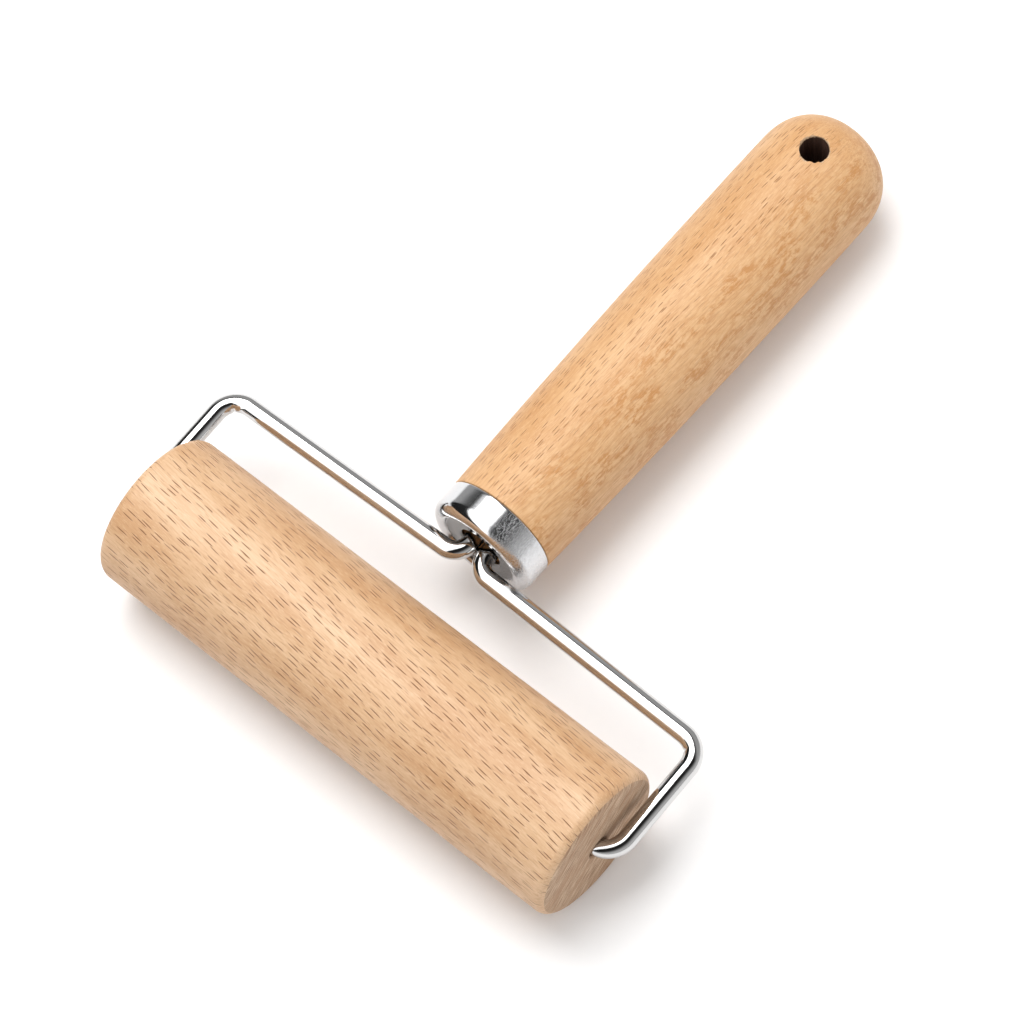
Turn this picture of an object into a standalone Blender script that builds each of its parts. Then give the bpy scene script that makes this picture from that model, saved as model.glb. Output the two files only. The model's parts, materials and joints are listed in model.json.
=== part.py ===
"""A hand roller: a beech drum that spins on two bent wire arms, held by a ferruled beech handle.

The drum's axis lies along X and the handle points along +Y. The roller lies on a flat surface,
z = 0, on its drum and on the thick end of its handle. The arms rise a little from the drum, and
the handle dips from their tangs to the surface. The origin is under the middle of the whole roller.
"""

import math

import bmesh
import bpy
from mathutils import Vector

# Driving dimensions, in metres. A "reach" is a distance from the drum's axis, along the arms as far
# as the tang corner and along the handle from there.
DRUM_LENGTH = 0.120
DRUM_RADIUS = 0.0174
DRUM_EDGE_ROUNDING = 0.0022
DRUM_END_PLAY = 0.0014
AXLE_BORE_RADIUS = 0.0026
AXLE_BORE_DEPTH = 0.0260
AXLE_LENGTH_IN_DRUM = 0.0230

WIRE_RADIUS = 0.0021
CORNER_REACH = 0.0288
CROSSBAR_RISE = 0.0013
AXLE_BEND_RADIUS = 0.0050
CORNER_BEND_RADIUS = 0.0052
TANG_BEND_RADIUS = 0.0038
TANG_END_REACH = 0.0760
# The angle from the plane of the arms down to the tangs and the handle.
HANDLE_DIP = math.radians(4.57)

FERRULE_FRONT_REACH = 0.0334
FERRULE_REAR_REACH = 0.0408
FERRULE_RADIUS = 0.0128
FERRULE_WALL = 0.0008
FERRULE_EDGE_ROUNDING = 0.0026
FERRULE_HOLE_RADIUS = 0.0052

HANDLE_NECK_RADIUS = 0.0128
HANDLE_MIDDLE_RADIUS = 0.0141
HANDLE_END_RADIUS = 0.0145
HANDLE_WIDEST_REACH = 0.1430
HANDLE_DOME_LENGTH = 0.0140
HANDLE_DOME_FULLNESS = 2.3
TANG_BORE_RADIUS = 0.0048
TANG_BORE_END_REACH = 0.0780
HANGING_HOLE_RADIUS = 0.0032
HANGING_HOLE_REACH = 0.1436

# The space between two pieces that touch or press together.
GAP = 0.0003

# How finely the round pieces are faceted.
DRUM_SIDES = 32
HANDLE_SIDES = 28
FERRULE_SIDES = 28
WIRE_SIDES = 12
HOLE_SIDES = 20
EDGE_STEPS = 3
BEND_STEPS = 6
BODY_STEPS = 8
DOME_STEPS = 8
SLOPE_HALVINGS = 40
SMOOTH_ANGLE = math.radians(40)

ARM_HALF_SPAN = DRUM_LENGTH / 2 + DRUM_END_PLAY + WIRE_RADIUS
TANG_OFFSET = WIRE_RADIUS + GAP / 2
TANG_CORNER_REACH = CORNER_REACH + CROSSBAR_RISE

# Turns a turned piece's own Z axis towards +Y.
LAID_ALONG_Y = (-math.pi / 2, 0, 0)

BEECH_DRUM = (0.737, 0.474, 0.275, 1)
BEECH_HANDLE = (0.730, 0.440, 0.227, 1)
CHROME = (0.80, 0.80, 0.81, 1)


def clear_scene():
    for thing in list(bpy.data.objects):
        bpy.data.objects.remove(thing, do_unlink=True)


def make_material(name, color, roughness, metallic):
    material = bpy.data.materials.new(name)
    material.use_nodes = True
    shader = material.node_tree.nodes["Principled BSDF"]
    shader.inputs["Base Color"].default_value = color
    shader.inputs["Roughness"].default_value = roughness
    shader.inputs["Metallic"].default_value = metallic
    material.diffuse_color = color
    return material


def add_object(name, mesh, material):
    piece = bpy.data.objects.new(name, mesh)
    bpy.context.scene.collection.objects.link(piece)
    if material:
        mesh.materials.append(material)
        mesh.shade_smooth()
        mesh.set_sharp_from_angle(angle=SMOOTH_ANGLE)
    return piece


def arc(center, radius, start, end, steps):
    """Points along a round corner, from the angle start to the angle end."""
    points = []
    for step in range(steps + 1):
        angle = start + (end - start) * step / steps
        points.append(
            (center[0] + radius * math.cos(angle), center[1] + radius * math.sin(angle))
        )
    return points


def turn(name, profile, closed, sides, material):
    """A turned piece about its own Z axis, from (radius, height) points down its outer side.

    Its flats, not its ridges, stand at the profile's radius, and one flat faces along each of X and Y.
    """
    half_flat = math.tan(math.pi / sides)
    shape = bmesh.new()
    ring = [shape.verts.new((radius, radius * half_flat, height)) for radius, height in profile]
    for upper, lower in zip(ring, ring[1:]):
        shape.edges.new((upper, lower))
    if closed:
        shape.edges.new((ring[-1], ring[0]))
    mesh = bpy.data.meshes.new(name)
    shape.to_mesh(mesh)
    shape.free()
    piece = add_object(name, mesh, None)
    screw = piece.modifiers.new("turned", "SCREW")
    screw.steps = sides
    screw.render_steps = sides
    screw.use_merge_vertices = True
    screw.merge_threshold = 0.00001
    screw.use_smooth_shade = True
    mesh.materials.append(material)
    return piece


def make_drum(material, axis):
    """The beech drum, with a blind bore in each end for an arm's stub axle."""
    half = DRUM_LENGTH / 2
    edge = DRUM_EDGE_ROUNDING
    floor = half - AXLE_BORE_DEPTH
    profile = [(0, floor), (AXLE_BORE_RADIUS, floor), (AXLE_BORE_RADIUS, half)]
    profile += arc((DRUM_RADIUS - edge, half - edge), edge, math.pi / 2, 0, EDGE_STEPS)
    profile += [(radius, -height) for radius, height in reversed(profile)]
    drum = turn("roller_drum", profile, False, DRUM_SIDES, material)
    drum.rotation_euler = (0, math.pi / 2, 0)
    drum.location = axis


def handle_radius(reach):
    """The handle's radius: a gentle swell from the ferrule to the widest part, then a full dome."""
    if reach > HANDLE_WIDEST_REACH:
        along = min((reach - HANDLE_WIDEST_REACH) / HANDLE_DOME_LENGTH, 1)
        shape = 1 - along**HANDLE_DOME_FULLNESS
        return HANDLE_END_RADIUS * max(shape, 0) ** (1 / HANDLE_DOME_FULLNESS)
    along = (reach - FERRULE_REAR_REACH) / (HANDLE_WIDEST_REACH - FERRULE_REAR_REACH)
    neck = HANDLE_NECK_RADIUS * (1 - along) * (1 - 2 * along)
    middle = HANDLE_MIDDLE_RADIUS * 4 * along * (1 - along)
    end = HANDLE_END_RADIUS * along * (2 * along - 1)
    return neck + middle + end


def handle_profile():
    """From the tip of the dome to the shoulder, along the nose in the ferrule and into the tang bore."""
    profile = []
    for step in range(DOME_STEPS + 1):
        angle = math.pi / 2 * (1 - step / DOME_STEPS)
        reach = HANDLE_WIDEST_REACH + HANDLE_DOME_LENGTH * math.sin(angle)
        profile.append((handle_radius(reach), reach))
    shoulder = FERRULE_REAR_REACH + GAP
    for step in range(1, BODY_STEPS + 1):
        reach = HANDLE_WIDEST_REACH + (shoulder - HANDLE_WIDEST_REACH) * step / BODY_STEPS
        profile.append((handle_radius(reach), reach))
    nose_radius = FERRULE_RADIUS - FERRULE_WALL - GAP
    nose_end = FERRULE_FRONT_REACH + FERRULE_WALL + GAP
    nose_edge = FERRULE_EDGE_ROUNDING - FERRULE_WALL
    profile.append((nose_radius, shoulder))
    corner = (nose_radius - nose_edge, nose_end + nose_edge)
    profile += arc(corner, nose_edge, 0, -math.pi / 2, EDGE_STEPS)
    profile += [(TANG_BORE_RADIUS, nose_end), (TANG_BORE_RADIUS, TANG_BORE_END_REACH)]
    profile.append((0, TANG_BORE_END_REACH))
    return profile


def handle_reach_and_depth(arm_slope):
    """How far the handle reaches past the drum's axis, and how far below it, with the arms sloping up."""
    dip = HANDLE_DIP - arm_slope
    forward = []
    below = []
    for radius, reach in handle_profile():
        along = reach - TANG_CORNER_REACH
        forward.append(along * math.cos(dip) + radius * math.sin(dip))
        below.append(along * math.sin(dip) + radius * math.cos(dip))
    corner_forward = TANG_CORNER_REACH * math.cos(arm_slope)
    corner_rise = TANG_CORNER_REACH * math.sin(arm_slope)
    return corner_forward + max(forward), max(below) - corner_rise


def resting_arm_slope():
    """The slope of the arms at which the handle's lowest point is level with the drum's, by halving."""
    low, high = 0, HANDLE_DIP
    for _ in range(SLOPE_HALVINGS):
        middle = (low + high) / 2
        if handle_reach_and_depth(middle)[1] > DRUM_RADIUS:
            low = middle
        else:
            high = middle
    return low


def make_hole_cutter():
    """The drill for the hanging hole. It points across the handle, upwards at rest."""
    shape = bmesh.new()
    bmesh.ops.create_cone(
        shape,
        cap_ends=True,
        segments=HOLE_SIDES,
        radius1=HANGING_HOLE_RADIUS,
        radius2=HANGING_HOLE_RADIUS,
        depth=HANDLE_END_RADIUS * 3,
    )
    mesh = bpy.data.meshes.new("hanging_hole_cutter")
    shape.to_mesh(mesh)
    shape.free()
    cutter = add_object("hanging_hole_cutter", mesh, None)
    cutter.location = (0, HANGING_HOLE_REACH - TANG_CORNER_REACH, 0)
    cutter.hide_render = True
    cutter.display_type = "WIRE"
    return cutter


def make_handle(material):
    """The beech handle, with its nose for the ferrule, its tang bore and its hanging hole."""
    handle = turn("handle", handle_profile(), False, HANDLE_SIDES, material)
    handle.rotation_euler = LAID_ALONG_Y
    handle.location = (0, -TANG_CORNER_REACH, 0)
    cutter = make_hole_cutter()
    hole = handle.modifiers.new("hanging hole", "BOOLEAN")
    hole.operation = "DIFFERENCE"
    hole.solver = "EXACT"
    hole.object = cutter
    return handle, cutter


def make_ferrule(material):
    """The chromed cup over the nose of the handle, with one hole for both tangs."""
    edge = FERRULE_EDGE_ROUNDING
    inner_edge = edge - FERRULE_WALL
    front = FERRULE_FRONT_REACH
    corner = (FERRULE_RADIUS - edge, front + edge)
    profile = [(FERRULE_RADIUS, FERRULE_REAR_REACH)]
    profile += arc(corner, edge, 0, -math.pi / 2, EDGE_STEPS)
    profile += [(FERRULE_HOLE_RADIUS, front), (FERRULE_HOLE_RADIUS, front + FERRULE_WALL)]
    profile += arc(corner, inner_edge, -math.pi / 2, 0, EDGE_STEPS)
    profile.append((FERRULE_RADIUS - FERRULE_WALL, FERRULE_REAR_REACH))
    ferrule = turn("ferrule", profile, True, FERRULE_SIDES, material)
    ferrule.rotation_euler = LAID_ALONG_Y
    ferrule.location = (0, -TANG_CORNER_REACH, 0)
    return ferrule


def rounded_route(corners, radii):
    """The corners' polyline, with a round bend of the given radius at each inner corner."""
    route = [corners[0]]
    for before, corner, after, radius in zip(corners, corners[1:], corners[2:], radii):
        back = (before - corner).normalized()
        ahead = (after - corner).normalized()
        half = back.angle(ahead) / 2
        center = corner + (back + ahead).normalized() * radius / math.sin(half)
        start = (corner + back * radius / math.tan(half) - center).normalized()
        end = (corner + ahead * radius / math.tan(half) - center).normalized()
        for step in range(BEND_STEPS + 1):
            route.append(center + start.slerp(end, step / BEND_STEPS) * radius)
    route.append(corners[-1])
    return route


def sweep_wire(name, route, material):
    """A round wire along a nearly level route, with a flat to each side and one on top."""
    shape = bmesh.new()
    ridge_radius = WIRE_RADIUS / math.cos(math.pi / WIRE_SIDES)
    rings = []
    runs = [(after - before).normalized() for before, after in zip(route, route[1:])]
    for point, behind, ahead in zip(route, runs[:1] + runs, runs + runs[-1:]):
        forward = (behind + ahead).normalized()
        side = forward.cross(Vector((0, 0, 1))).normalized()
        up = side.cross(forward)
        # A ring between two runs stands a little wider, so that each run keeps its width.
        widen = 1 / forward.dot(ahead)
        ring = []
        for corner in range(WIRE_SIDES):
            angle = 2 * math.pi * (corner + 0.5) / WIRE_SIDES
            out = side * math.cos(angle) * widen + up * math.sin(angle)
            ring.append(shape.verts.new(point + out * ridge_radius))
        rings.append(ring)
    for ring, following in zip(rings, rings[1:]):
        for corner in range(WIRE_SIDES):
            near = (corner + 1) % WIRE_SIDES
            shape.faces.new((ring[corner], ring[near], following[near], following[corner]))
    shape.faces.new(reversed(rings[0]))
    shape.faces.new(rings[-1])
    bmesh.ops.recalc_face_normals(shape, faces=shape.faces)
    mesh = bpy.data.meshes.new(name)
    shape.to_mesh(mesh)
    shape.free()
    return add_object(name, mesh, material)


def make_arm(name, side, material):
    """One wire, bent from stub axle to side arm, crossbar and tang. The side is -1 left, +1 right."""
    tang_corner = Vector((side * TANG_OFFSET, TANG_CORNER_REACH, 0))
    tang_length = TANG_END_REACH - TANG_CORNER_REACH
    tang = tang_length * Vector((0, math.cos(HANDLE_DIP), -math.sin(HANDLE_DIP)))
    corners = [
        Vector((side * (DRUM_LENGTH / 2 - AXLE_LENGTH_IN_DRUM), 0, 0)),
        Vector((side * ARM_HALF_SPAN, 0, 0)),
        Vector((side * ARM_HALF_SPAN, CORNER_REACH, 0)),
        tang_corner,
        tang_corner + tang,
    ]
    bends = [AXLE_BEND_RADIUS, CORNER_BEND_RADIUS, TANG_BEND_RADIUS]
    return sweep_wire(name, rounded_route(corners, bends), material)


def make_frame(name, parent, location, slope):
    """An empty that carries pieces at a slope, upwards along +Y."""
    frame = bpy.data.objects.new(name, None)
    bpy.context.scene.collection.objects.link(frame)
    frame.parent = parent
    frame.location = location
    frame.rotation_euler = (slope, 0, 0)
    return frame


def make_roller():
    drum_beech = make_material("drum beech", BEECH_DRUM, 0.42, 0)
    handle_beech = make_material("handle beech", BEECH_HANDLE, 0.40, 0)
    ferrule_chrome = make_material("ferrule chrome", CHROME, 0.12, 1)
    wire_chrome = make_material("wire chrome", CHROME, 0.10, 1)

    arm_slope = resting_arm_slope()
    handle_forward = handle_reach_and_depth(arm_slope)[0]
    drum_axis = Vector((0, (DRUM_RADIUS - handle_forward) / 2, DRUM_RADIUS))
    arm_frame = make_frame("arm_frame", None, drum_axis, arm_slope)
    tang_corner = (0, TANG_CORNER_REACH, 0)
    handle_frame = make_frame("handle_frame", arm_frame, tang_corner, -HANDLE_DIP)

    make_drum(drum_beech, drum_axis)
    make_arm("left_arm", -1, wire_chrome).parent = arm_frame
    make_arm("right_arm", 1, wire_chrome).parent = arm_frame
    for piece in (*make_handle(handle_beech), make_ferrule(ferrule_chrome)):
        piece.parent = handle_frame


clear_scene()
make_roller()
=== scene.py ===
"""The finished look of a hand roller: a beech drum on two chromed wire arms, with a ferruled beech handle.

Everything is in metres. The drum is built about its own axis, X. The arms and the handle are built in
frames of their own, in which Y runs along them and a "reach" is a distance from the drum's axis.
"""

import json
import math

import bmesh
import bpy
from mathutils import Matrix, Vector, noise

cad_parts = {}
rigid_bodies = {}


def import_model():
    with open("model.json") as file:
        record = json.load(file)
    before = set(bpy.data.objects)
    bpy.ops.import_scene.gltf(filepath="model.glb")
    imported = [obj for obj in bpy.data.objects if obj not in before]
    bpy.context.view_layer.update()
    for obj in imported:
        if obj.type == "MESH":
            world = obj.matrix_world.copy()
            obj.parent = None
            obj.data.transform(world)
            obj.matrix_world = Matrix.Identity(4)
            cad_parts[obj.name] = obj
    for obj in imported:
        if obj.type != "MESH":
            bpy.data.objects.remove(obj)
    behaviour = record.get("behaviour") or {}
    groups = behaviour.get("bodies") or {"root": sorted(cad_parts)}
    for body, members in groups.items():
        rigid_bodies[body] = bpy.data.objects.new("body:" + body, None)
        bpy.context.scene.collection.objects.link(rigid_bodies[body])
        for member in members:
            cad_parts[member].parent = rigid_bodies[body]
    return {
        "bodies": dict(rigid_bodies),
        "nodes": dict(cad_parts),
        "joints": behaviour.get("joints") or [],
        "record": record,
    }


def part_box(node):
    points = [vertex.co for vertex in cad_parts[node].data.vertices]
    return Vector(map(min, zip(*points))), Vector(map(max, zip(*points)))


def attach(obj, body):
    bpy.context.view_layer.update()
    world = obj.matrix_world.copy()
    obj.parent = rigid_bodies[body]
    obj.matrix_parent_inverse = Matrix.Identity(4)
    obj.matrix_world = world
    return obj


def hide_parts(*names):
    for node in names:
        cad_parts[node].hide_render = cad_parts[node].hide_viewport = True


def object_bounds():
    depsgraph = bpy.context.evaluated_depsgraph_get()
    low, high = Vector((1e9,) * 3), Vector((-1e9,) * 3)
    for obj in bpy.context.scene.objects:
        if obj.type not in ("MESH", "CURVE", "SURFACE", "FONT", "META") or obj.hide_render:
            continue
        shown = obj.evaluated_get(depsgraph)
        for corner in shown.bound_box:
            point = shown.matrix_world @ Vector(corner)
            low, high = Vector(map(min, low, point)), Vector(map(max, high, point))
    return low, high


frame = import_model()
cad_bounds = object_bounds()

MM = 0.001

# The camera looks down at the roller from beyond the right end of the drum, and leans a little.
CAMERA_AIM = Vector((-0.4, -24.9, 17.4)) * MM
CAMERA_DISTANCE = 868 * MM
CAMERA_AZIMUTH = math.radians(51.5)
CAMERA_ELEVATION = math.radians(65.8)
CAMERA_LEAN = math.radians(12.3)
CAMERA_FOCAL_LENGTH = 148.6
SENSOR_WIDTH = 36

KEY_DIRECTION = (-0.30, 0.09, 0.95)
KEY_DISTANCE = 1.2
KEY_SIZE = 0.8
KEY_WATTS = 11.5
AIR_AT_HORIZON, AIR_ADDED_OVERHEAD = 0.30, 0.62
FLOOR_RADIUS = 4.0
STUDIO_RADIUS = 3.0
STUDIO_LEVELS = 24
LAMP_BRIGHTNESS = 1.9
ROOM_DARKNESS = 0.015

# The slope of the arms as the roller lies at rest, and the angle from them down to the handle.
ARM_SLOPE = math.radians(2.442)
HANDLE_DIP = math.radians(4.57)

EDGE_ROUNDING = 2.2 * MM
AXLE_BORE_RADIUS = 2.5 * MM
AXLE_BORE_DEPTH = 26 * MM
BORE_CHAMFER = 0.35 * MM

WIRE_RADIUS = 2.1 * MM
AXLE_END = 37 * MM
ARM_HALF_SPAN = 63.5 * MM
CORNER_REACH = 28.8 * MM
TANG_CORNER_REACH = 30.1 * MM
TANG_OFFSET = 2.25 * MM
TANG_END_REACH = 76 * MM
AXLE_BEND, CORNER_BEND, TANG_BEND = 5 * MM, 5.2 * MM, 3.8 * MM
CREASE_DEPTH, CREASE_WIDTH = 0.32 * MM, 0.45 * MM
SQUEEZE_DEPTH, SQUEEZE_WIDTH = 0.16 * MM, 1.8 * MM

FERRULE_FRONT = 33.4 * MM
FERRULE_REAR = 40.8 * MM
FERRULE_RADIUS = 12.8 * MM
FERRULE_WALL = 0.8 * MM
FERRULE_ROUNDING = 2.6 * MM
FERRULE_BEAD = 1.3 * MM
FERRULE_RECESS = 1.0 * MM
FERRULE_HOLE_RADIUS = 5.0 * MM
FERRULE_HOLE_ROLL = 0.5 * MM
FERRULE_LIP = 0.2 * MM
BEAD_CURL = -158
BEAD_FOOT = 1.15 * FERRULE_BEAD

HANDLE_NECK, HANDLE_MIDDLE, HANDLE_END = 12.8 * MM, 14.1 * MM, 14.5 * MM
HANDLE_WIDEST = 143 * MM
DOME_LENGTH = 13.96 * MM
DOME_FULLNESS = 2.3
SHOULDER = 40.95 * MM
SHOULDER_ROUNDING = 0.25 * MM
NOSE_CLEARANCE = 0.15 * MM
NOSE_SETBACK = 0.6 * MM
TANG_BORE_RADIUS = 4.8 * MM
TANG_BORE_END = 78 * MM
HOLE_REACH = 143.6 * MM
HOLE_RADIUS = 3.15 * MM
HOLE_CHAMFER = 0.6 * MM
DRILL_OVERRUN = 3 * MM
DRILL_POINT = 5 * MM

# The torn rim of the hole, in chamfers: its usual width, how far that varies, and its least width.
TEAR_WIDTH, TEAR_SPREAD, TEAR_LEAST = 0.50, 1.5, 0.15
TEAR_FINENESS = 4.3

# Unevenness that hand work leaves: how fine it is, per millimetre, and how deep.
DRUM_SANDING = (0.09, 0.07 * MM)
DRUM_NICKS = (0.55, 0.035 * MM)
HANDLE_SANDING = (0.08, 0.09 * MM)
FERRULE_DENTS = (0.35, 0.03 * MM)

# Edges steeper than these stay sharp, and faces of the drum that point this far along X show end grain.
SHARP_EDGE = math.radians(38)
SHARP_DRILLED_EDGE = math.radians(32)
END_GRAIN_FACING = 0.90

DRUM_SIDES = 176
TURNED_SIDES = 168
DRILL_SIDES = 72
WIRE_SIDES = 48
STAGE_SIDES = 96

drum_low, drum_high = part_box("roller_drum")
DRUM_AXIS = (drum_low + drum_high) / 2
DRUM_HALF = (drum_high.x - drum_low.x) / 2
DRUM_RADIUS = (drum_high.z - drum_low.z) / 2
FLOOR_LEVEL = cad_bounds[0][2]

DRUM_FRAME = Matrix.Translation(DRUM_AXIS)
ARM_FRAME = DRUM_FRAME @ Matrix.Rotation(ARM_SLOPE, 4, "X")
HANDLE_FRAME = (
    ARM_FRAME
    @ Matrix.Translation((0, TANG_CORNER_REACH, 0))
    @ Matrix.Rotation(-HANDLE_DIP, 4, "X")
    @ Matrix.Translation((0, -TANG_CORNER_REACH, 0))
)


# Camera, light and floor


def place_camera():
    heading = Vector((-math.sin(CAMERA_AZIMUTH), math.cos(CAMERA_AZIMUTH), 0))
    level_right = Vector((heading.y, -heading.x, 0))
    view = heading * math.cos(CAMERA_ELEVATION) - Vector((0, 0, math.sin(CAMERA_ELEVATION)))
    level_up = level_right.cross(view)
    right = level_right * math.cos(CAMERA_LEAN) - level_up * math.sin(CAMERA_LEAN)
    up = right.cross(view)
    lens = bpy.data.cameras.new("camera")
    lens.sensor_width = SENSOR_WIDTH
    lens.lens = CAMERA_FOCAL_LENGTH
    lens.clip_start = 0.01
    camera = bpy.data.objects.new("camera", lens)
    camera.matrix_world = Matrix((right, up, -view)).transposed().to_4x4()
    camera.location = CAMERA_AIM - view * CAMERA_DISTANCE
    bpy.context.scene.collection.objects.link(camera)
    bpy.context.scene.camera = camera


def add_softbox(name, direction, distance, size, power):
    """A square soft light that points at the roller."""
    light = bpy.data.lights.new(name, "AREA")
    light.size = size
    light.energy = power
    lamp = bpy.data.objects.new(name, light)
    lamp.location = Vector(direction).normalized() * distance
    lamp.rotation_euler = (-lamp.location).to_track_quat("-Z", "Y").to_euler()
    bpy.context.scene.collection.objects.link(lamp)


# Finishes


class Signal:
    """The output of a node. Arithmetic on signals and numbers adds Math nodes."""

    def __init__(self, nodes, socket):
        self.nodes = nodes
        self.socket = socket

    def math(self, operation, *operands):
        values = dict(enumerate(operands))
        return self.nodes.node("ShaderNodeMath", {"operation": operation}, values)

    def __add__(self, other):
        return self.math("ADD", self, other)

    def __sub__(self, other):
        return self.math("SUBTRACT", self, other)

    def __rsub__(self, other):
        return self.math("SUBTRACT", other, self)

    def __mul__(self, other):
        return self.math("MULTIPLY", self, other)

    def __truediv__(self, other):
        return self.math("DIVIDE", self, other)

    def __rtruediv__(self, other):
        return self.math("DIVIDE", other, self)

    __radd__ = __add__
    __rmul__ = __mul__

    def bigger(self, other):
        return self.math("MAXIMUM", self, other)

    def rise(self, low, high):
        """0 up to low, 1 from high on, and a smooth rise between them."""
        settings = {"interpolation_type": "SMOOTHSTEP"}
        values = {"Value": self, "From Min": low, "From Max": high}
        return self.nodes.node("ShaderNodeMapRange", settings, values)


class Nodes:
    """A tree of nodes."""

    def __init__(self, tree):
        self.tree = tree

    def node(self, kind, settings, inputs, output=0):
        """A new node: its settings, then the values or links of its sockets. It gives one output."""
        made = self.tree.nodes.new(kind)
        for name, value in settings.items():
            setattr(made, name, value)
        for name, value in inputs.items():
            self.feed(made.inputs[name], value)
        return Signal(self, made.outputs[output])

    def feed(self, socket, value):
        if isinstance(value, Signal):
            self.tree.links.new(value.socket, socket)
        else:
            socket.default_value = value

    def vector(self, operation, first, second=None, output=0, **extra):
        inputs = {0: first, **extra}
        if second is not None:
            inputs[1] = second
        return self.node("ShaderNodeVectorMath", {"operation": operation}, inputs, output)

    def along(self, place, direction):
        """How far a place lies in a direction."""
        return self.vector("DOT_PRODUCT", place, Vector(direction).normalized(), "Value")

    def point(self, x, y, z):
        return self.node("ShaderNodeCombineXYZ", {}, {"X": x, "Y": y, "Z": z})

    def noise(self, place, detail=2, roughness=0.5, scale=1):
        values = {"Vector": place, "Scale": scale, "Detail": detail, "Roughness": roughness}
        return self.node("ShaderNodeTexNoise", {}, values)

    def streaks(self, grain, length, fineness, roughness=0.5, detail=3):
        """Noise drawn out along a grain, as long in millimetres and as fine per millimetre as asked."""
        along, side, up = grain
        drawn_out = self.point(along / length, side * fineness, up * fineness)
        return self.noise(drawn_out, detail, roughness)

    def blend(self, factor, first, second):
        """The first colour where the factor is 0 and the second where it is 1."""
        settings = {"data_type": "RGBA", "blend_type": "MIX", "clamp_factor": True}
        return self.node("ShaderNodeMix", settings, {0: factor, 6: first, 7: second}, 2)

    def bump(self, height, distance, strength):
        """Relief from a height of 0 to 1, over a distance in metres."""
        values = {"Height": height, "Distance": distance, "Strength": strength}
        return self.node("ShaderNodeBump", {}, values, "Normal")


class Finish(Nodes):
    """A material for a piece that was made in a frame of its own."""

    def __init__(self, name, frame):
        self.material = bpy.data.materials.new(name)
        self.material.use_nodes = True
        super().__init__(self.material.node_tree)
        self.frame = frame
        self.shader = self.tree.nodes["Principled BSDF"]

    def set(self, **values):
        """Values or links for the shader's sockets, such as Base_Color."""
        for name, value in values.items():
            self.feed(self.shader.inputs[name.replace("_", " ")], value)

    def place(self):
        """Where a point of the piece is, in millimetres in the piece's own frame."""
        spot = self.node("ShaderNodeTexCoord", {}, {}, "Object")
        offset = self.vector("SUBTRACT", spot, self.frame.translation)
        axes = self.frame.to_3x3().col
        turned = [self.vector("DOT_PRODUCT", offset, axis, "Value") for axis in axes]
        return self.vector("SCALE", self.point(*turned), Scale=1 / MM)


def ray_flecks(finish, along, around, length, width, spacing, gap):
    """The dark ends of a beech's rays: one slim dash to a cell, and how dark each of them is."""
    cell = finish.point(along / spacing, around / gap, 0)
    settings = {"voronoi_dimensions": "2D", "feature": "F1"}
    values = {"Vector": cell, "Scale": 1.0, "Randomness": 0.85}
    centre = finish.node("ShaderNodeTexVoronoi", settings, values, "Position")
    chance = finish.node("ShaderNodeTexVoronoi", settings, values, "Color")
    offset = finish.vector("SUBTRACT", cell, centre)
    spread = finish.vector("MULTIPLY", offset, (2 * spacing / length, 2 * gap / width, 0))
    distance = finish.vector("LENGTH", spread, None, "Value")
    darkness = finish.node("ShaderNodeSeparateColor", {}, {0: chance}, "Red")
    return 1 - distance.rise(0.60, 1.0), darkness


def grain_axes(finish, place, direction, wander):
    """Distances along and across a grain that wanders a little, in millimetres."""
    grain = Vector(direction).normalized()
    side = grain.cross(Vector((0, 0, 1))).normalized()
    sway = (finish.noise(place, detail=1, scale=0.035) - 0.5) * wander
    return (
        finish.along(place, grain),
        finish.along(place, side) + sway,
        finish.along(place, side.cross(grain)) - sway,
    )


def round_the_piece(finish, place, axis, radius):
    """Distances round a turned piece, from its top, and along its axis."""
    level = "Y" if axis == "X" else "X"
    run, sideways, up = (
        finish.node("ShaderNodeSeparateXYZ", {}, {0: place}, name) for name in (axis, level, "Z")
    )
    return sideways.math("ARCTAN2", sideways, up) * radius, run


def wavy(finish, place):
    """A slow waver of a millimetre to either side, for rows of dashes."""
    return (finish.noise(place, detail=1, scale=0.05) - 0.5) * 2.0


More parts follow.
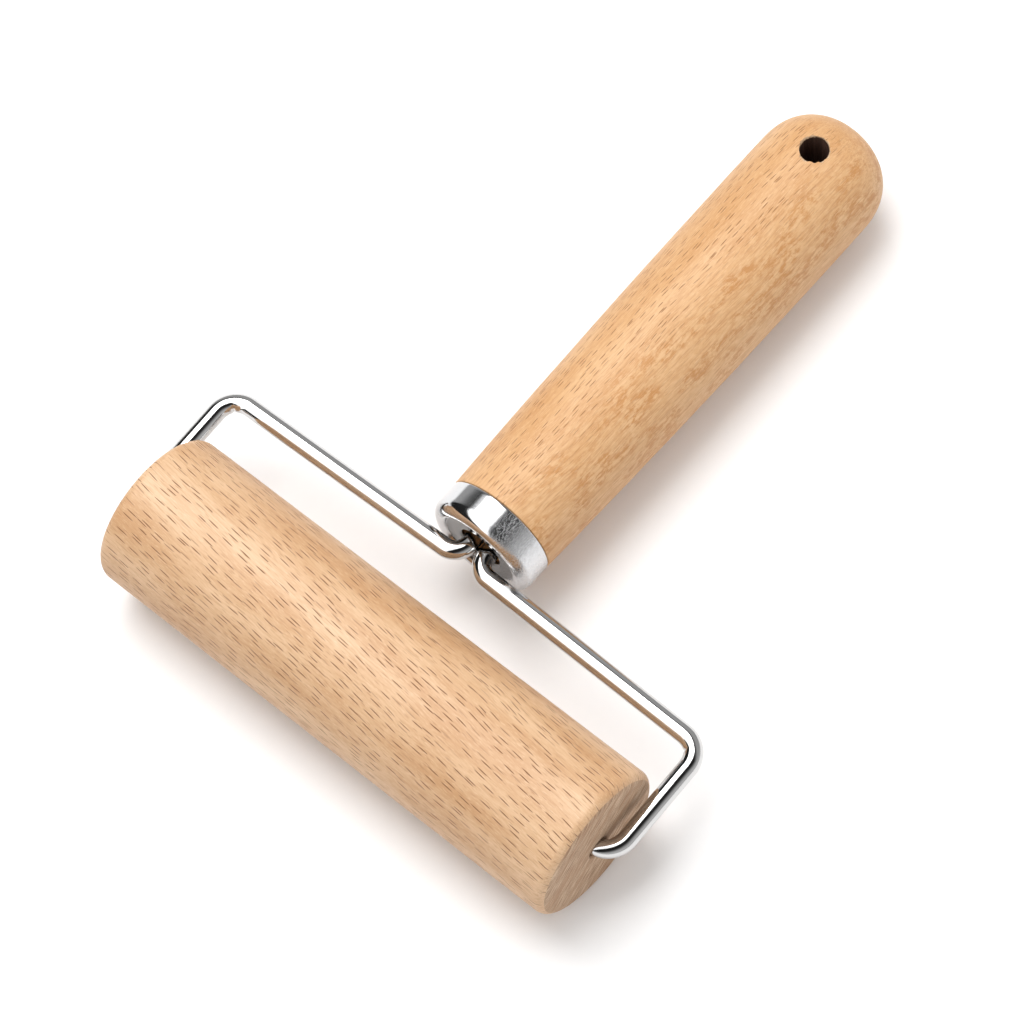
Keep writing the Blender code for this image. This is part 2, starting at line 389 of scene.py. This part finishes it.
def drum_beech():
    """Plain sawn beech, sanded: an even tan with long fibres and dark dashes along it."""
    pale, deep = (0.680, 0.445, 0.260, 1), (0.530, 0.293, 0.136, 1)
    fibre_brown, thread_cream = (0.480, 0.250, 0.110, 1), (0.780, 0.560, 0.360, 1)
    dash_brown, tick_brown = (0.150, 0.048, 0.009, 1), (0.270, 0.105, 0.026, 1)
    finish = Finish("drum beech", DRUM_FRAME)
    place = finish.place()
    grain = grain_axes(finish, place, (1, -0.1, 0.02), wander=1.6)
    clouds = finish.streaks(grain, length=42, fineness=1 / 7)
    fibres = finish.streaks(grain, length=7, fineness=3.2, roughness=0.62)
    threads = finish.streaks(grain, length=1.8, fineness=5.5, roughness=0.65)
    color = finish.blend(clouds.rise(0.32, 0.70), pale, deep)
    color = finish.blend(fibres.rise(0.40, 0.72) * 0.55, color, fibre_brown)
    color = finish.blend(threads.rise(0.50, 0.70) * 0.42, color, thread_cream)
    arc, run = round_the_piece(finish, place, "X", DRUM_RADIUS / MM)
    row = run * 0.105 + arc + wavy(finish, place)
    dashes, chance = ray_flecks(finish, run, row, length=3.7, width=0.25, spacing=4.2, gap=1.30)
    dark = dashes * chance.rise(0.05, 0.55)
    color = finish.blend(dark * 0.92, color, dash_brown)
    ticks, chance = ray_flecks(finish, run, row + 0.7, length=1.7, width=0.17, spacing=3.0, gap=0.90)
    color = finish.blend(ticks * chance.rise(0.25, 0.85) * 0.42, color, tick_brown)
    relief = threads * 0.35 + fibres * 0.5 - dark * 0.9
    finish.set(
        Base_Color=color,
        Roughness=0.44 + fibres * 0.16 + dark * 0.2,
        Specular_IOR_Level=0.55,
        Normal=finish.bump(relief, distance=0.05 * MM, strength=0.55),
    )
    return finish.material


def drum_end_grain():
    """The sawn and sanded ends of the drum: greyer, with close streaks and open pores."""
    streak_brown, streak_cream = (0.315, 0.178, 0.095, 1), (0.640, 0.455, 0.305, 1)
    ring_brown, pore_brown = (0.400, 0.215, 0.110, 1), (0.190, 0.095, 0.050, 1)
    finish = Finish("drum end grain", DRUM_FRAME)
    place = finish.place()
    over = finish.along(place, (0, -0.62, 0.78))
    down = finish.along(place, (0, 0.78, 0.62))
    streaks = finish.noise(finish.point(0, down / 5, over * 3.4), detail=3, roughness=0.6)
    rings = finish.noise(finish.point(0, down / 16, over / 1.5), detail=2)
    pores = finish.noise(finish.vector("SCALE", place, Scale=4.2), detail=2)
    color = finish.blend(streaks.rise(0.36, 0.64), streak_brown, streak_cream)
    color = finish.blend(rings.rise(0.42, 0.66) * 0.60, color, ring_brown)
    color = finish.blend(pores.rise(0.54, 0.74) * 0.50, color, pore_brown)
    finish.set(
        Base_Color=color,
        Roughness=0.66 + pores * 0.15,
        Normal=finish.bump(streaks - pores * 0.6, distance=0.12 * MM, strength=0.6),
    )
    return finish.material


def handle_beech():
    """Turned beech: fine dashes on the left side, and a mottled, flamed figure towards the right."""
    pale, deep = (0.655, 0.395, 0.196, 1), (0.560, 0.295, 0.116, 1)
    flame_gold, flame_brown = (0.760, 0.480, 0.250, 1), (0.520, 0.232, 0.066, 1)
    fibre_brown, thread_cream = (0.470, 0.220, 0.080, 1), (0.770, 0.520, 0.310, 1)
    dash_brown = (0.190, 0.066, 0.012, 1)
    finish = Finish("handle beech", HANDLE_FRAME)
    place = finish.place()
    grain = grain_axes(finish, place, (0.03, 1, 0), wander=2.2)
    # The flamed figure sets in near the middle, along an edge that winds up and down the handle.
    winding = (finish.noise(place, detail=1, scale=0.06) - 0.5) * 9
    flamed = (finish.along(place, (1, 0, 0)) + winding).rise(-1.5, 6.5)
    clouds = finish.streaks(grain, length=34, fineness=1 / 6)
    fibres = finish.streaks(grain, length=6, fineness=3.4, roughness=0.6)
    threads = finish.streaks(grain, length=1.6, fineness=5.5, roughness=0.65)
    mottle = finish.streaks(grain, length=2.6, fineness=1 / 1.1, roughness=0.68, detail=4)
    patches = finish.streaks(grain, length=11, fineness=1 / 4, detail=2)
    color = finish.blend(clouds.rise(0.30, 0.70), pale, deep)
    flames = mottle.rise(0.42, 0.58) * (0.30 + patches.rise(0.40, 0.58) * 0.70)
    color = finish.blend(flamed * 0.45, color, flame_gold)
    color = finish.blend(flames * flamed * 0.85, color, flame_brown)
    color = finish.blend(fibres.rise(0.40, 0.72) * 0.62, color, fibre_brown)
    color = finish.blend(threads.rise(0.50, 0.70) * 0.42, color, thread_cream)
    arc, run = round_the_piece(finish, place, "Y", HANDLE_MIDDLE / MM)
    row = arc - run * 0.03 + wavy(finish, place)
    dashes, chance = ray_flecks(finish, run, row, length=2.6, width=0.22, spacing=3.2, gap=1.00)
    # The dashes thin out on the flamed side, and stop short of the tip, where they would crowd together.
    dark = dashes * chance.rise(0.10, 0.70) * (1 - flamed * 0.80) * (1 - run.rise(146, 153))
    color = finish.blend(dark * 0.85, color, dash_brown)
    relief = threads * 0.35 + fibres * 0.5 - dark * 0.8
    finish.set(
        Base_Color=color,
        Roughness=0.44 + fibres * 0.16 + dark * 0.15,
        Specular_IOR_Level=0.42,
        Normal=finish.bump(relief, distance=0.05 * MM, strength=0.5),
    )
    return finish.material


def from_handle_axis(finish, place):
    """How far a place lies from the handle's axis."""
    return finish.vector("LENGTH", finish.vector("MULTIPLY", place, (1, 0, 1)), None, "Value")


def drilled_beech():
    """The wall of the hanging hole: torn pale fibres at the rim, and painted shade, a near-black brown,
    inside.
    """
    # The near-black brown is painted shade for the inside of the hole, and the cream is the torn fibres at
    # its rim.
    painted_hole_shade, torn_cream = (0.060, 0.022, 0.010, 1), (0.660, 0.450, 0.270, 1)
    finish = Finish("drilled beech", HANDLE_FRAME)
    place = finish.place()
    torn = finish.noise(finish.vector("MULTIPLY", place, (2.5, 2.5, 0.6)), detail=3)
    at_rim = (from_handle_axis(finish, place) + torn * 0.8).rise(13.9, 14.6)
    finish.set(
        # Painted shade: the wall inside the rim is near-black brown, standing for the shade deep in the
        # hole.
        Base_Color=finish.blend(at_rim, painted_hole_shade, torn_cream),
        Roughness=0.75 + torn * 0.1,
        Normal=finish.bump(torn, distance=0.2 * MM, strength=0.8),
    )
    return finish.material


def ferrule_chrome():
    """Bright plate over drawn steel, with fine drawing marks round it and a haze of small pits. The
    recessed face inside the bead is painted dark as shade.
    """
    bright, hazed = (0.640, 0.640, 0.650, 1), (0.450, 0.450, 0.460, 1)
    # The near-black colour of the painted shade in the recess.
    shaded = (0.055, 0.052, 0.050, 1)
    finish = Finish("ferrule chrome", HANDLE_FRAME)
    place = finish.place()
    marks = finish.noise(finish.vector("MULTIPLY", place, (0.7, 9.0, 0.7)), detail=3, roughness=0.7)
    pits = finish.noise(finish.vector("SCALE", place, Scale=3.0), detail=3, roughness=0.7)
    haze = pits.rise(0.50, 0.78)
    scuffed_side = finish.along(place, (1, 0, 0)).rise(2.5, 7.0)
    scratches = finish.noise(finish.vector("MULTIPLY", place, (6.0, 1.1, 6.0)), detail=4, roughness=0.75)
    scuffs = scratches.rise(0.46, 0.60) * scuffed_side
    # Painted shade: the recessed face and the hole's roll, inside the bead, are darkened to stand for the
    # shade that falls in the recess.
    recess_painted_shade = 1 - from_handle_axis(finish, place).rise(8.7, 9.3)
    color = finish.blend(haze * 0.35, bright, hazed)
    color = finish.blend(recess_painted_shade * 0.85, color, shaded)
    finish.set(
        Base_Color=color,
        Metallic=1.0,
        Roughness=0.075 + marks * 0.06 + haze * 0.08 + scuffs * 0.30,
        Normal=finish.bump(marks * 0.5 + pits * 0.5 + scuffs, distance=0.02 * MM, strength=0.45),
    )
    return finish.material


def wire_chrome():
    """Bright plate over drawn wire: faint lengthwise waves and a few dull specks."""
    bright, speckled = (0.620, 0.615, 0.610, 1), (0.400, 0.390, 0.380, 1)
    finish = Finish("wire chrome", ARM_FRAME)
    place = finish.place()
    waves = finish.noise(finish.vector("SCALE", place, Scale=0.55), detail=2)
    specks = finish.noise(finish.vector("SCALE", place, Scale=2.6), detail=3, roughness=0.7)
    dull = specks.rise(0.60, 0.82)
    finish.set(
        Base_Color=finish.blend(dull * 0.4, bright, speckled),
        Metallic=1.0,
        Roughness=0.05 + waves * 0.05 + dull * 0.14,
        Normal=finish.bump(waves + specks * 0.15, distance=0.05 * MM, strength=0.25),
    )
    return finish.material


def floor_white():
    """Matt white card."""
    finish = Finish("floor white", Matrix())
    flecks = finish.noise(finish.place(), detail=2, scale=0.5)
    color = finish.blend(flecks, (0.925, 0.925, 0.930, 1), (0.945, 0.945, 0.945, 1))
    finish.set(Base_Color=color, Roughness=0.9, Specular_IOR_Level=0.0)
    return finish.material


def studio_card():
    """What the chrome sees above the floor: a wide soft lamp overhead, and a dim room round it."""
    finish = Finish("studio card", Matrix())
    place = finish.place()
    height = finish.along(place, (0, 0, 1)).bigger(0.001)

    def tilt(direction):
        """The angle of a place away from straight overhead, in a direction."""
        sideways = finish.along(place, direction)
        return sideways.math("ARCTAN2", sideways, height)

    def past(angle, start, end):
        return angle.rise(math.radians(start), math.radians(end))

    to_right, to_back = tilt((1, 0, 0)), tilt((0, 1, 0))
    lamp = past(to_right, -47, -43) * (1 - past(to_right, 6, 11)) * (1 - past(to_back, 20, 25))
    walls = (past(to_right, 30, 75) * 0.60).bigger(past(to_back, 20, 50) * 0.42)
    brightness = lamp * LAMP_BRIGHTNESS + (1 - lamp) * (ROOM_DARKNESS + walls)
    finish.set(
        Base_Color=(0, 0, 0, 1),
        Roughness=1.0,
        Specular_IOR_Level=0.0,
        Emission_Color=brightness,
        Emission_Strength=1.0,
    )
    return finish.material


# Shapes


def add_mesh(name, shape, place, finish):
    """A smooth-shaded piece from a bmesh that was made in a frame."""
    bmesh.ops.recalc_face_normals(shape, faces=shape.faces)
    shape.transform(place)
    mesh = bpy.data.meshes.new(name)
    shape.to_mesh(mesh)
    shape.free()
    mesh.materials.append(finish)
    mesh.shade_smooth()
    mesh.set_sharp_from_angle(angle=SHARP_EDGE)
    piece = bpy.data.objects.new(name, mesh)
    bpy.context.scene.collection.objects.link(piece)
    return piece


def skin(rings, tips=(None, None), ring_shut=False):
    """A surface through rings of points. An end can have a tip, or the last ring can join the first."""
    shape = bmesh.new()
    made = [[shape.verts.new(point) for point in ring] for ring in rings]
    following_rings = made[1:] + made[:1] if ring_shut else made[1:]
    for near, far in zip(made, following_rings):
        for index in range(len(near)):
            following = (index + 1) % len(near)
            shape.faces.new((near[index], near[following], far[following], far[index]))
    for ring, tip in zip((made[0], made[-1]), tips):
        if tip is None:
            continue
        point = shape.verts.new(tip)
        for index in range(len(ring)):
            shape.faces.new((ring[index], ring[(index + 1) % len(ring)], point))
    return shape


def arc(center, radius, start, end, steps):
    """Points round a corner, with its angles in degrees."""
    points = []
    for step in range(steps + 1):
        angle = math.radians(start + (end - start) * step / steps)
        points.append((center[0] + radius * math.cos(angle), center[1] + radius * math.sin(angle)))
    return points


def stretch(start, end, steps):
    """Points along a straight run, without its two ends."""
    points = []
    for step in range(1, steps):
        share = step / steps
        points.append(tuple(a + (b - a) * share for a, b in zip(start, end)))
    return points


def circle(sides):
    """The cosine and the sine of each step round a circle."""
    angles = [2 * math.pi * side / sides for side in range(sides)]
    return [(math.cos(angle), math.sin(angle)) for angle in angles]


def waver(x, y, z, fineness, depth):
    """How far hand work leaves a point under the true surface, from 0 to the depth."""
    return depth * (0.5 + 0.5 * noise.noise(Vector((x, y, z)) * fineness / MM))


def turned(outline, unevenness, true_up_to=0):
    """Rings about Y from radii and reaches. The outside is uneven past a reach, and the bore is true."""
    rings = []
    for radius, reach in outline:
        uneven = reach > true_up_to and radius > FERRULE_RADIUS / 2
        ring = []
        for x, z in circle(TURNED_SIDES):
            shown = radius - waver(x * radius, reach, z * radius, *unevenness) if uneven else radius
            ring.append((x * shown, reach, z * shown))
        rings.append(ring)
    return rings


def make_drum():
    half = DRUM_HALF
    mouth = (AXLE_BORE_RADIUS, half - BORE_CHAMFER)
    face = (AXLE_BORE_RADIUS + BORE_CHAMFER, half)
    corner = arc((DRUM_RADIUS - EDGE_ROUNDING, half - EDGE_ROUNDING), EDGE_ROUNDING, 90, 0, 9)
    bore_floor = half - AXLE_BORE_DEPTH
    outline = [(AXLE_BORE_RADIUS, bore_floor), mouth, face]
    outline += stretch(face, corner[0], 9) + corner
    outline += stretch(corner[-1], (DRUM_RADIUS, 0), 34)
    mirrored = [(radius, -height) for radius, height in reversed(outline)]
    rings = []
    for radius, height in outline + [(DRUM_RADIUS, 0)] + mirrored:
        # The bores stay true, and the unevenness grows towards the rim.
        share = min(radius / DRUM_RADIUS, 1) ** 4
        ring = []
        for y, z in circle(DRUM_SIDES):
            spot = (height, y * DRUM_RADIUS, z * DRUM_RADIUS)
            shown = radius - (waver(*spot, *DRUM_SANDING) + waver(*spot, *DRUM_NICKS)) * share
            ring.append((height, y * shown, z * shown))
        rings.append(ring)
    shape = skin(rings, ((bore_floor, 0, 0), (-bore_floor, 0, 0)))
    drum = add_mesh("beech_drum", shape, DRUM_FRAME, drum_beech())
    drum.data.materials.append(drum_end_grain())
    for face in drum.data.polygons:
        middle = face.center - DRUM_AXIS
        in_bore = math.hypot(middle.y, middle.z) < AXLE_BORE_RADIUS + BORE_CHAMFER
        face.material_index = int(in_bore or abs(face.normal.x) > END_GRAIN_FACING)
    return drum


def handle_radius(reach):
    """A gentle swell from the ferrule to the widest part, then a full dome."""
    if reach > HANDLE_WIDEST:
        along = min((reach - HANDLE_WIDEST) / DOME_LENGTH, 1)
        return HANDLE_END * max(1 - along**DOME_FULLNESS, 0) ** (1 / DOME_FULLNESS)
    along = (reach - FERRULE_REAR) / (HANDLE_WIDEST - FERRULE_REAR)
    neck = HANDLE_NECK * (1 - along) * (1 - 2 * along)
    middle = HANDLE_MIDDLE * 4 * along * (1 - along)
    return neck + middle + HANDLE_END * along * (2 * along - 1)


def handle_outline():
    """From near the tip of the dome, along the outside, round the nose and into the tang bore."""
    outline = []
    dome_steps, body_steps = 30, 84
    for step in range(1, dome_steps):
        reach = HANDLE_WIDEST + DOME_LENGTH * math.cos(math.pi / 2 * step / dome_steps)
        outline.append((handle_radius(reach), reach))
    shoulder = SHOULDER + SHOULDER_ROUNDING
    for step in range(body_steps + 1):
        reach = HANDLE_WIDEST + (shoulder - HANDLE_WIDEST) * step / body_steps
        outline.append((handle_radius(reach), reach))
    inset = handle_radius(shoulder) - SHOULDER_ROUNDING
    outline += arc((inset, shoulder), SHOULDER_ROUNDING, 0, -90, 4)[1:]
    nose = FERRULE_RADIUS - FERRULE_WALL - NOSE_CLEARANCE
    nose_end = FERRULE_FRONT + FERRULE_RECESS + FERRULE_WALL + NOSE_SETBACK
    nose_rounding = FERRULE_ROUNDING - FERRULE_WALL
    outline.append((nose, SHOULDER))
    outline += arc((nose - nose_rounding, nose_end + nose_rounding), nose_rounding, 0, -90, 6)
    outline += [(TANG_BORE_RADIUS, nose_end), (TANG_BORE_RADIUS, TANG_BORE_END)]
    return outline


def hanging_drill():
    """The tool that leaves the hanging hole: straight inside, flared and ragged where it breaks out."""
    profiles = []
    for x, y in circle(DRILL_SIDES):
        surface = math.sqrt(HANDLE_END**2 - (HOLE_RADIUS * x) ** 2)
        tear = TEAR_WIDTH + TEAR_SPREAD * noise.noise(Vector((x, y, 0.3)) * TEAR_FINENESS)
        flared = HOLE_RADIUS + HOLE_CHAMFER * max(tear, TEAR_LEAST)
        stages = (
            (surface - HOLE_CHAMFER, HOLE_RADIUS),
            (surface, flared),
            (surface + DRILL_OVERRUN, flared),
        )
        profiles.append([(x * radius, y * radius, height) for height, radius in stages])
    upper = [list(ring) for ring in zip(*profiles)]
    lower = [[(x, y, -height) for x, y, height in ring] for ring in reversed(upper)]
    tip = HANDLE_END + DRILL_POINT
    place = HANDLE_FRAME @ Matrix.Translation((0, HOLE_REACH, 0))
    shape = skin(lower + upper, ((0, 0, -tip), (0, 0, tip)))
    return add_mesh("drill", shape, place, drilled_beech())


def drilled(piece, drill):
    """The piece with the drill cut out of it, as a plain mesh."""
    cut = piece.modifiers.new("hanging hole", "BOOLEAN")
    cut.operation = "DIFFERENCE"
    cut.solver = "EXACT"
    cut.material_mode = "TRANSFER"
    cut.object = drill
    graph = bpy.context.evaluated_depsgraph_get()
    mesh = bpy.data.meshes.new_from_object(piece.evaluated_get(graph))
    piece.modifiers.clear()
    piece.data = mesh
    bpy.data.objects.remove(drill)
    mesh.set_sharp_from_angle(angle=SHARP_DRILLED_EDGE)
    return piece


def make_handle():
    rings = turned(handle_outline(), HANDLE_SANDING, true_up_to=SHOULDER)
    tips = ((0, HANDLE_WIDEST + DOME_LENGTH, 0), (0, TANG_BORE_END, 0))
    handle = add_mesh("beech_handle", skin(rings, tips), HANDLE_FRAME, handle_beech())
    return drilled(handle, hanging_drill())


def ferrule_outline():
    """From the rear rim forward, over the rounded bead, down to the recessed face, and back inside."""
    outer, inner = FERRULE_RADIUS, FERRULE_RADIUS - FERRULE_WALL
    lip, rim = FERRULE_LIP, FERRULE_REAR - FERRULE_LIP
    corner = (outer - FERRULE_ROUNDING, FERRULE_FRONT + FERRULE_ROUNDING)
    bead = (corner[0], FERRULE_FRONT + FERRULE_BEAD)
    face = FERRULE_FRONT + FERRULE_RECESS
    back = face + FERRULE_WALL
    hole = FERRULE_HOLE_RADIUS + FERRULE_HOLE_ROLL
    outline = arc((outer - lip, rim), lip, 90, 0, 4)
    outline += stretch((outer, rim), (outer, corner[1]), 12)
    outline += arc(corner, FERRULE_ROUNDING, 0, -90, 16)
    outline += arc(bead, FERRULE_BEAD, -90, BEAD_CURL, 8)[1:]
    outline += stretch((corner[0] - BEAD_FOOT, face), (hole, face), 4)
    outline += arc((hole, face + FERRULE_HOLE_ROLL), FERRULE_HOLE_ROLL, -90, -180, 6)
    outline.append((FERRULE_HOLE_RADIUS, back))
    outline += arc((corner[0], back + 1.0 * MM), inner - corner[0], -60, 0, 6)
    outline += [(inner, rim), (inner + lip / 2, FERRULE_REAR)]
    return outline


def make_ferrule():
    shape = skin(turned(ferrule_outline(), FERRULE_DENTS), ring_shut=True)
    return add_mesh("chrome_ferrule", shape, HANDLE_FRAME, ferrule_chrome())


def wire_route(side):
    """The wire's line: points, how far each bend's inner side is pressed in, and the way to its centre."""
    corner = Vector((side * TANG_OFFSET, TANG_CORNER_REACH, 0))
    tang_way = Vector((0, math.cos(HANDLE_DIP), -math.sin(HANDLE_DIP)))
    corners = [
        Vector((side * AXLE_END, 0, 0)),
        Vector((side * ARM_HALF_SPAN, 0, 0)),
        Vector((side * ARM_HALF_SPAN, CORNER_REACH, 0)),
        corner,
        corner + tang_way * (TANG_END_REACH - TANG_CORNER_REACH),
    ]
    bends = (AXLE_BEND, CORNER_BEND, TANG_BEND)
    bend_steps, tang_steps, straight_step = 36, 24, 1.5 * MM
    route = [(corners[0], 0, Vector())]
    for before, turn, after, radius in zip(corners, corners[1:], corners[2:], bends):
        back, ahead = (before - turn).normalized(), (after - turn).normalized()
        half = back.angle(ahead) / 2
        center = turn + (back + ahead).normalized() * radius / math.sin(half)
        start = (turn + back * radius / math.tan(half) - center).normalized()
        end = (turn + ahead * radius / math.tan(half) - center).normalized()
        last = route[-1][0]
        first = center + start * radius
        runs = max(int((first - last).length / straight_step), 2)
        route += [(last.lerp(first, step / runs), 0, Vector()) for step in range(1, runs)]
        for step in range(bend_steps + 1):
            spoke = start.slerp(end, step / bend_steps)
            from_middle = abs(step / bend_steps - 0.5) * radius * start.angle(end)
            crease = CREASE_DEPTH * math.exp(-((from_middle / CREASE_WIDTH) ** 2))
            squeeze = SQUEEZE_DEPTH * math.exp(-((from_middle / SQUEEZE_WIDTH) ** 2))
            route.append((center + spoke * radius, crease + squeeze, -spoke))
    last = route[-1][0]
    for step in range(1, tang_steps + 1):
        route.append((last.lerp(corners[-1], step / tang_steps), 0, Vector()))
    return route


def make_arm(name, side, finish):
    route = wire_route(side)
    points = [point for point, _, _ in route]
    runs = [(after - before).normalized() for before, after in zip(points, points[1:])]
    rings = []
    for (point, press, inward), behind, ahead in zip(route, runs[:1] + runs, runs + runs[-1:]):
        forward = (behind + ahead).normalized()
        level = forward.cross(Vector((0, 0, 1))).normalized()
        up = level.cross(forward)
        ring = []
        for sideways, upwards in circle(WIRE_SIDES):
            out = level * sideways + up * upwards
            ring.append(point + out * (WIRE_RADIUS - press * max(out.dot(inward), 0) ** 3))
        rings.append(ring)
    return add_mesh(name, skin(rings, (points[0], points[-1])), ARM_FRAME, finish)


# The roller and its setting


def level_ring(radius, height):
    return [(radius * x, radius * y, height) for x, y in circle(STAGE_SIDES)]


def make_floor():
    """A broad round of white card under the roller."""
    rings = [level_ring(FLOOR_RADIUS * share, 0) for share in (0.02, 0.1, 0.4, 1.0)]
    place = Matrix.Translation((0, 0, FLOOR_LEVEL))
    add_mesh("floor", skin(rings, ((0, 0, 0), None)), place, floor_white())


def make_studio():
    """A dome that only the polished pieces see, so that it lights nothing."""
    rings = []
    for level in range(STUDIO_LEVELS):
        climb = math.pi / 2 * level / STUDIO_LEVELS
        rings.append(level_ring(STUDIO_RADIUS * math.cos(climb), STUDIO_RADIUS * math.sin(climb)))
    dome = add_mesh("studio", skin(rings, (None, (0, 0, STUDIO_RADIUS))), Matrix(), studio_card())
    dome.visible_camera = False
    dome.visible_diffuse = False
    dome.visible_transmission = False
    dome.visible_volume_scatter = False
    dome.visible_shadow = False


def set_light():
    """White air, brighter overhead than at the horizon, and one soft key light."""
    world = bpy.data.worlds.new("studio air")
    world.use_nodes = True
    air = Nodes(world.node_tree)
    way = air.node("ShaderNodeTexCoord", {}, {}, "Generated")
    height = air.node("ShaderNodeSeparateXYZ", {}, {0: way}, "Z")
    background = air.tree.nodes["Background"]
    air.feed(background.inputs["Color"], (1.0, 1.0, 1.0, 1))
    strength = AIR_AT_HORIZON + height.rise(0.05, 0.85) * AIR_ADDED_OVERHEAD
    air.feed(background.inputs["Strength"], strength)
    bpy.context.scene.world = world
    bpy.context.scene.view_settings.view_transform = "Standard"
    add_softbox("key", KEY_DIRECTION, KEY_DISTANCE, KEY_SIZE, KEY_WATTS)


def finish_piece(piece, body, node):
    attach(piece, body)
    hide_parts(node)


place_camera()
set_light()
make_floor()
make_studio()
chrome = wire_chrome()
finish_piece(make_drum(), "drum", "roller_drum")
finish_piece(make_handle(), "handle_frame", "handle")
finish_piece(make_ferrule(), "handle_frame", "ferrule")
finish_piece(make_arm("wire_arm_left", -1, chrome), "handle_frame", "left_arm")
finish_piece(make_arm("wire_arm_right", 1, chrome), "handle_frame", "right_arm")
